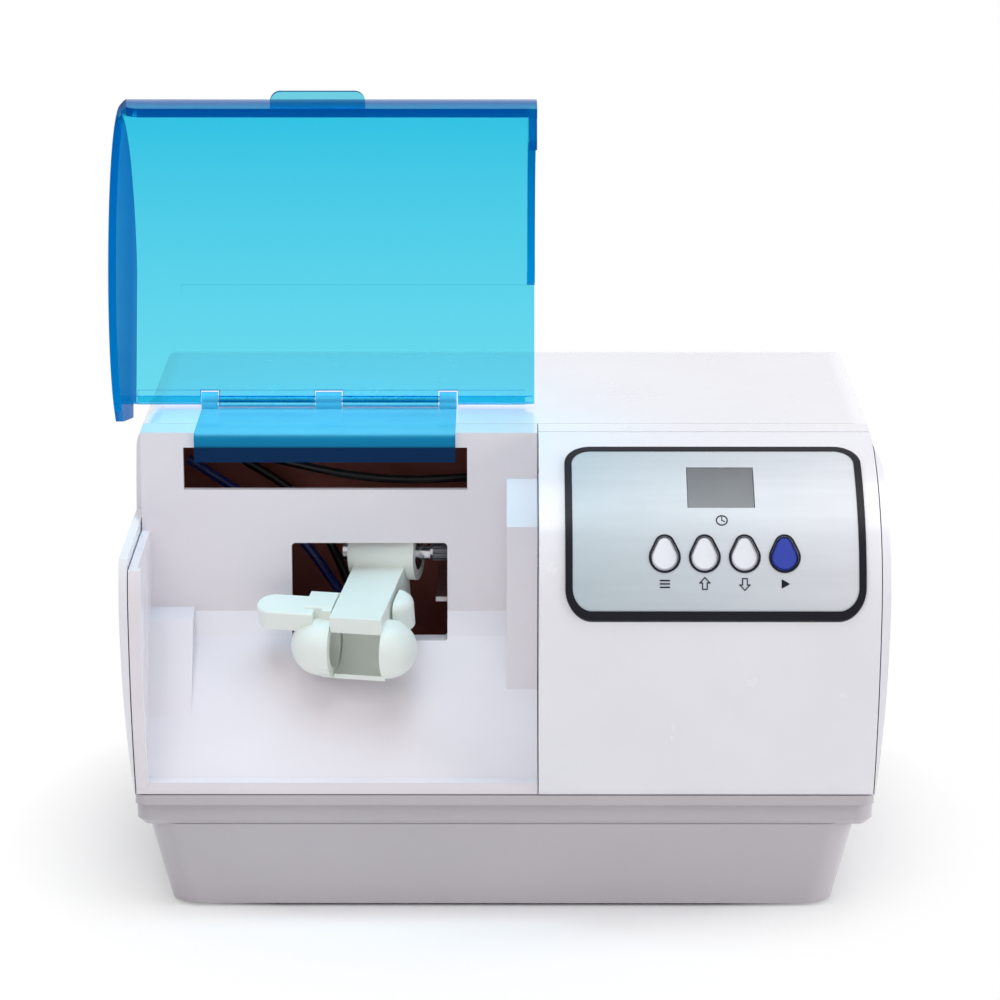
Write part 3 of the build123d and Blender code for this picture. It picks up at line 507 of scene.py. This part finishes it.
# ---- printed marks on the panel: lists of flat faces, in millimetres -----------------------------
def ring(radius, width, count=28):
    """Closed band of four-sided faces round a circle."""
    faces = []
    for i in range(count):
        a = 2 * math.pi * i / count
        b = 2 * math.pi * (i + 1) / count
        corners = ((radius, a), (radius, b), (radius - width, b), (radius - width, a))
        faces.append([(r * math.cos(turn), r * math.sin(turn)) for r, turn in corners])
    return faces


def stroke(points, width, closed=False):
    """Straight bars along a run of points, each a four-sided face."""
    faces = []
    ends = points[1:] + ([points[0]] if closed else [])
    for a, b in zip(points, ends):
        run = Vector(b) - Vector(a)
        side = Vector((-run.y, run.x)).normalized() * width / 2
        start = Vector(a) - run.normalized() * width / 2
        end = Vector(b) + run.normalized() * width / 2
        faces.append([tuple(p) for p in (start + side, start - side, end - side, end + side)])
    return faces


def arrow(direction):
    """Outline arrow that points up (1) or down (-1)."""
    outline = [(0, 1.9), (1.5, 0.3), (0.7, 0.3), (0.7, -1.6)]
    outline += [(-x, y) for x, y in reversed(outline[1:])]
    return stroke([(x, direction * y) for x, y in outline], LINE, closed=True)


def mode_mark():
    """Three bars."""
    return [face for y in (1.0, 0.0, -1.0) for face in stroke([(-1.3, y), (1.3, y)], BAR)]


def start_mark():
    """Triangle that points to the right, in two faces."""
    return [
        [(-1.0, 1.4), (-1.0, -1.4), (0.4, -0.7), (0.4, 0.7)],
        [(0.4, 0.7), (0.4, -0.7), (1.5, 0.0)],
    ]


def clock_mark():
    return ring(1.8, RIM) + stroke([(0, 1.1), (0, 0), (0.8, -0.4)], LINE)


def panel_mark(name, faces, x, angle, surface, material):
    """Thin raised print that follows the curved panel."""
    tilt = math.radians(angle)
    normal = Vector((0, -math.sin(tilt), math.cos(tilt)))
    upward = Vector((0, math.cos(tilt), math.sin(tilt)))
    center = Vector((x, *SHOULDER_CENTER)) + normal * (SHOULDER_RADIUS + MARK_START)
    made = bmesh.new()
    for face in faces:
        corners = []
        for dx, dy in face:
            start = (center + Vector((dx, 0, 0)) + upward * dy) * MM
            hit = surface.ray_cast(start, -normal)[0]
            corners.append(made.verts.new(hit + normal * MARK_PROUD * MM))
        made.faces.new(corners)
    made.normal_update()
    for face in made.faces:
        if face.normal.dot(normal) < 0:
            face.normal_flip()
    thick = bmesh.ops.extrude_face_region(made, geom=made.faces[:])
    for item in thick["geom"]:
        if isinstance(item, bmesh.types.BMVert):
            item.co -= normal * MARK_PROUD * MARK_DEPTH * MM
    bmesh.ops.recalc_face_normals(made, faces=made.faces[:])
    mesh = bpy.data.meshes.new(name)
    made.to_mesh(mesh)
    made.free()
    mesh.materials.append(material)
    piece = bpy.data.objects.new(name, mesh)
    bpy.context.scene.collection.objects.link(piece)
    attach(piece, "case")


def panel_marks(frame, material):
    """A sign under each key, and a clock under the display."""
    overlay = frame["nodes"]["panel_overlay"]
    surface = BVHTree.FromObject(overlay, bpy.context.evaluated_depsgraph_get())
    signs = {
        "mode_mark": mode_mark(),
        "up_mark": arrow(1),
        "down_mark": arrow(-1),
        "start_mark": start_mark(),
    }
    for index, (name, faces) in enumerate(signs.items()):
        panel_mark(name, faces, KEY_FIRST_X + KEY_PITCH * index, MARK_ANGLE, surface, material)
    panel_mark("clock_mark", clock_mark(), *CLOCK_MARK, surface, material)


# ---- stage ---------------------------------------------------------------------------------------
def floor():
    """Pale floor that turns to plain white away from the object, and keeps its shadow."""
    mesh = bpy.data.meshes.new("floor")
    reach = FLOOR_REACH
    corners = [(-reach, -reach, 0), (reach, -reach, 0), (reach, reach, 0), (-reach, reach, 0)]
    mesh.from_pydata(corners, [], [(0, 1, 2, 3)])
    plane = bpy.data.objects.new("floor", mesh)
    bpy.context.scene.collection.objects.link(plane)
    n = material_nodes("pale_floor")
    pale = n.ramp(n.noise(scale=3.0, detail=3.0), linear(250, 250, 250), linear(252, 252, 252))
    shader = n.principled(pale, Roughness=0.7)
    distance = n.add("ShaderNodeVectorMath", operation="LENGTH")
    n.link(n.coordinates(), distance.inputs[0])
    amount = n.add("ShaderNodeMath", operation="MULTIPLY")
    n.link(n.background_rays(), amount.inputs[0])
    n.link(n.remap(distance.outputs["Value"], FLOOR_FADE), amount.inputs[1])
    white = n.add("ShaderNodeEmission")
    n.mix_surface(amount.outputs[0], shader.outputs["BSDF"], white.outputs["Emission"])
    mesh.materials.append(n.owner)


def world():
    """Soft sky for light, and plain white where the camera, gloss or clear sheet looks at it."""
    sky = bpy.data.worlds.new("studio")
    bpy.context.scene.world = sky
    n = Nodes(sky, "ShaderNodeOutputWorld")
    backgrounds = []
    for color, strength in (SOFT_SKY, WHITE_SKY):
        background = n.add("ShaderNodeBackground")
        background.inputs["Color"].default_value = color
        background.inputs["Strength"].default_value = strength
        backgrounds.append(background.outputs["Background"])
    n.mix_surface(n.background_rays(), *backgrounds)


def softbox(name, place, target, size, power, color=(1, 1, 1)):
    """Rectangular lamp, aimed at the target and itself unseen; its power is in watts."""
    data = bpy.data.lights.new(name, "AREA")
    data.shape = "RECTANGLE"
    data.size, data.size_y = size
    data.energy = power
    data.color = color
    lamp = bpy.data.objects.new(name, data)
    bpy.context.scene.collection.objects.link(lamp)
    lamp.location = place
    aim = Vector(target) - Vector(place)
    lamp.rotation_euler = aim.to_track_quat("-Z", "Y").to_euler()
    lamp.visible_camera = False


def lights():
    softbox(
        "key",
        place=(-0.6, -1.0, 0.95),
        target=(0, -0.02, 0.08),
        size=(0.9, 0.7),
        power=2.7,
        color=(1.0, 0.99, 0.97),
    )
    softbox(
        "fill",
        place=(1.5, -0.42, 0.5),
        target=(0, 0, 0.09),
        size=(0.8, 0.8),
        power=10.0,
        color=(0.99, 0.99, 1.0),
    )
    softbox("top", place=(0.05, -0.2, 1.4), target=(0, 0, 0.1), size=(1.1, 0.8), power=8.6)


def camera():
    """Camera on the ray through the target, turned so that the target falls on its pixel."""
    data = bpy.data.cameras.new("camera")
    data.sensor_width = SENSOR_WIDTH
    data.lens = SENSOR_WIDTH * FOCAL_PIXELS / IMAGE_SIDE
    data.clip_end = CLIP_END
    eye = bpy.data.objects.new("camera", data)
    bpy.context.scene.collection.objects.link(eye)
    flat = VIEW_DISTANCE * math.cos(VIEW_ELEVATION)
    rise = VIEW_DISTANCE * math.sin(VIEW_ELEVATION)
    offset = Vector((flat * math.sin(VIEW_AZIMUTH), -flat * math.cos(VIEW_AZIMUTH), rise))
    eye.location = VIEW_TARGET + offset
    center = IMAGE_SIDE / 2
    down = math.atan((TARGET_PIXEL[1] - center) / FOCAL_PIXELS)
    aside = math.atan((TARGET_PIXEL[0] - center) / FOCAL_PIXELS)
    eye.rotation_euler = (math.pi / 2 - VIEW_ELEVATION + down, 0, VIEW_AZIMUTH + aside)
    bpy.context.scene.camera = eye


# ---- build ---------------------------------------------------------------------------------------
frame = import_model()
made = materials()
dress(frame, made)
panel_marks(frame, made["label_black"])
floor()
world()
lights()
camera()
bpy.context.scene.view_settings.view_transform = "Standard"
